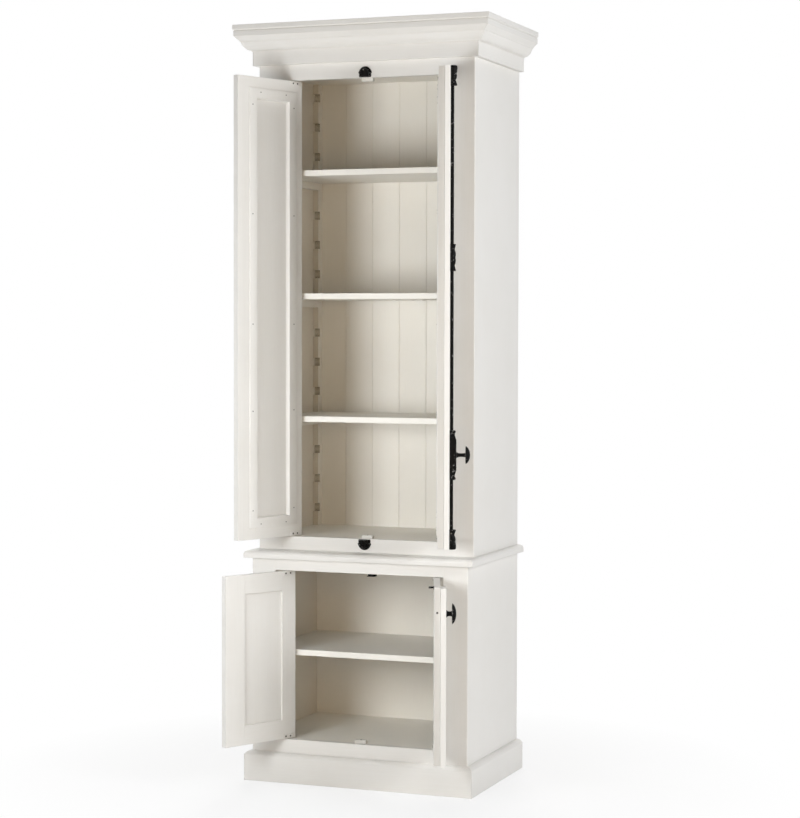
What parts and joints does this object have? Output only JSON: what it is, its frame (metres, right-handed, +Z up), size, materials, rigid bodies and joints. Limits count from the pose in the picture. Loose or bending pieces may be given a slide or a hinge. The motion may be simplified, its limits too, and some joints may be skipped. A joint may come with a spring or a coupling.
{
  "type": "two-part cupboard",
  "caption": "Tall white painted cupboard, an upper case on a deeper lower one, with inset pivot-hung doors, notched shelf racks, a moulded cornice and an iron rod bolt.",
  "frame": {"origin": "on the floor at the middle of the back, where the cupboard meets the wall", "axes": "+Z up, -Y out of the front, +X to the right as seen from the front"},
  "size_m": [0.838, 0.7267, 2.35],
  "materials": {
    "white_paint": "satin white paint over wood",
    "black_iron": "black wax over iron",
    "white_metal": "satin white paint over steel",
    "white_plastic": "matte white"
  },
  "bodies": {
    "cabinet": {"base_back_rail": "white_paint", "bolt_keepers": "black_iron", "cornice": "white_paint", "door_stops": "white_plastic", "frieze": "white_paint", "hinge_plates": "white_metal", "lower_back": "white_paint", "lower_bottom_rail": "white_paint", "lower_floor": "white_paint", "lower_shelf": "white_paint", "lower_side_left": "white_paint", "lower_side_right": "white_paint", "lower_stiles": "white_paint", "lower_top_rail": "white_paint", "roller_catch": "black_iron", "shelf_bearers": "white_paint", "shelf_racks": "white_paint", "skirting": "white_paint", "upper_back_boards": "white_paint", "upper_bottom_rail": "white_paint", "upper_ceiling": "white_paint", "upper_floor": "white_paint", "upper_shelf_bottom": "white_paint", "upper_shelf_middle": "white_paint", "upper_shelf_top": "white_paint", "upper_side_left": "white_paint", "upper_side_right": "white_paint", "upper_stiles": "white_paint", "upper_top_rail": "white_paint", "waist_board": "white_paint"},
    "upper_left_door": {"upper_left_beads": "white_paint", "upper_left_panel": "white_paint", "upper_left_pivot_plates": "white_metal", "upper_left_rails": "white_paint", "upper_left_stiles": "white_paint"},
    "upper_right_door": {"upper_right_beads": "white_paint", "upper_right_panel": "white_paint", "upper_right_pivot_plates": "white_metal", "upper_right_rails": "white_paint", "upper_right_stiles": "white_paint", "upper_astragal": "white_paint", "bolt_case": "black_iron", "bolt_guides": "black_iron"},
    "lower_left_door": {"lower_left_panel": "white_paint", "lower_left_pivot_plates": "white_metal", "lower_left_rails": "white_paint", "lower_left_stiles": "white_paint"},
    "lower_right_door": {"lower_right_panel": "white_paint", "lower_right_pivot_plates": "white_metal", "lower_right_rails": "white_paint", "lower_right_stiles": "white_paint", "lower_astragal": "white_paint", "lower_knob": "black_iron", "catch_tongue": "black_iron"},
    "bolt_knob": {"bolt_pinion": "black_iron", "bolt_knob": "black_iron"},
    "bolt_upper_rod": {"bolt_upper_rod": "black_iron"},
    "bolt_lower_rod": {"bolt_lower_rod": "black_iron"}
  },
  "joints": [
    {"name": "upper_left_swing", "type": "hinge", "parent": "cabinet", "child": "upper_left_door", "pos_m": [-0.245, -0.42, 0.764], "axis": [0, 0, 1], "range_deg": [-18.5, 111.5]},
    {"name": "upper_right_swing", "type": "hinge", "parent": "cabinet", "child": "upper_right_door", "pos_m": [0.245, -0.42, 0.764], "axis": [0, 0, 1], "range_deg": [-110, 20]},
    {"name": "lower_left_swing", "type": "hinge", "parent": "cabinet", "child": "lower_left_door", "pos_m": [-0.245, -0.472, 0.136], "axis": [0, 0, 1], "range_deg": [-13, 117]},
    {"name": "lower_right_swing", "type": "hinge", "parent": "cabinet", "child": "lower_right_door", "pos_m": [0.2525, -0.472, 0.136], "axis": [0, 0, 1], "range_deg": [-110.5, 19.5]},
    {"name": "bolt_knob_turn", "type": "hinge", "parent": "upper_right_door", "child": "bolt_knob", "pos_m": [0.37202, -0.63449, 1.041], "axis": [-0.9397, -0.342, 0], "range_deg": [0, 90]},
    {"name": "bolt_upper_rod_slide", "type": "slide", "parent": "upper_right_door", "child": "bolt_upper_rod", "axis": [0, 0, 1], "range_m": [0, 0.01649]},
    {"name": "bolt_lower_rod_slide", "type": "slide", "parent": "upper_right_door", "child": "bolt_lower_rod", "axis": [0, 0, -1], "range_m": [0, 0.0166]}
  ],
  "couplings": [
    {"joint": "bolt_knob_turn", "follows": "bolt_upper_rod_slide", "rad_per_m": 95.238},
    {"joint": "bolt_lower_rod_slide", "follows": "bolt_upper_rod_slide", "ratio": 1}
  ]
}
